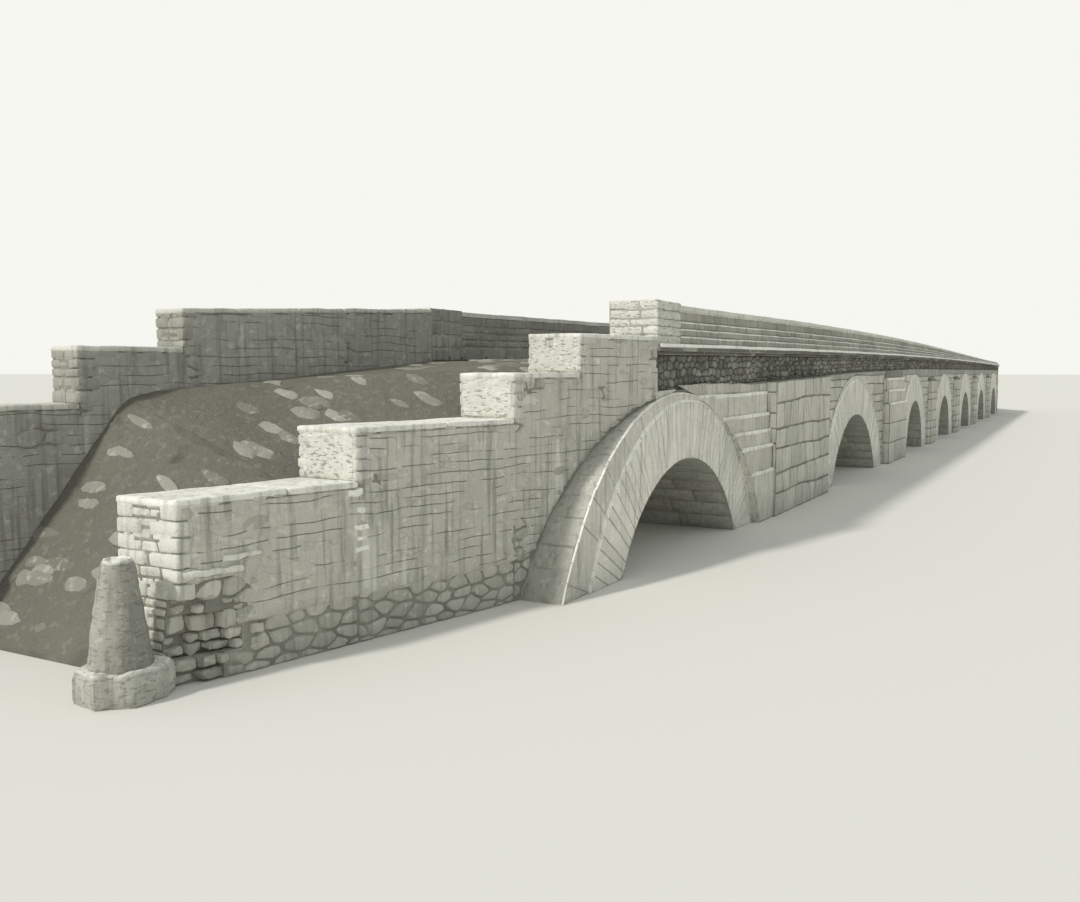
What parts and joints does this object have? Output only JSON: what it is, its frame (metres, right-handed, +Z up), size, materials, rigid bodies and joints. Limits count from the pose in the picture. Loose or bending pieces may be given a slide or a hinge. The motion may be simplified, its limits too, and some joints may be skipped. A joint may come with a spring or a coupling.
{
  "type": "seven-arched stone bridge with stepped wing walls, 1:2 scale model",
  "caption": "Old stone bridge, a half-size scale model: low segmental and round arches, coursed parapets, a cornice, stepped wing walls and guard stones.",
  "frame": {"origin": "middle of the foot of the third pier, on the centre line, at the level on which the bridge stands", "axes": "+X along the bridge from the near end to the far end, +Y towards its left side, +Z up"},
  "size_m": [36.1048, 2.6018, 1.8291],
  "materials": {
    "arch_stone": "rough",
    "arch_backing_stone": "rough",
    "pier_stone": "rough",
    "ashlar_stone": "rough",
    "stained_stone": "rough",
    "dressed_stone": "rough",
    "parapet_stone": "rough",
    "rubble_stone": "rough",
    "road_stone": "rough",
    "guard_stone": "rough"
  },
  "bodies": {
    "root": {"abutment_near": "pier_stone", "abutment_far": "pier_stone", "pier_1": "pier_stone", "pier_2": "pier_stone", "pier_3": "pier_stone", "pier_4": "pier_stone", "pier_5": "pier_stone", "pier_6": "pier_stone", "buttress_1": "ashlar_stone", "buttress_2": "ashlar_stone", "buttress_3": "ashlar_stone", "buttress_4": "ashlar_stone", "buttress_5": "ashlar_stone", "buttress_6": "ashlar_stone", "arch_1": "arch_stone", "arch_2": "arch_stone", "arch_3": "arch_stone", "arch_4": "arch_stone", "arch_5": "arch_stone", "arch_6": "arch_stone", "arch_7": "arch_stone", "arch_band_1": "arch_backing_stone", "arch_band_2": "arch_backing_stone", "upper_wall_right": "stained_stone", "upper_wall_left": "stained_stone", "roadway": "road_stone", "cornice_right": "dressed_stone", "cornice_left": "dressed_stone", "parapet_right": "parapet_stone", "parapet_left": "parapet_stone", "coping_right": "dressed_stone", "coping_left": "dressed_stone", "end_block_right": "dressed_stone", "end_block_left": "dressed_stone", "wing_near_right": "rubble_stone", "wing_near_left": "rubble_stone", "wing_far_right": "rubble_stone", "wing_far_left": "rubble_stone", "ramp_near": "road_stone", "ramp_far": "road_stone", "guard_stone_near_right": "guard_stone", "guard_stone_near_left": "guard_stone", "guard_stone_far_right": "guard_stone", "guard_stone_far_left": "guard_stone"}
  },
  "joints": []
}
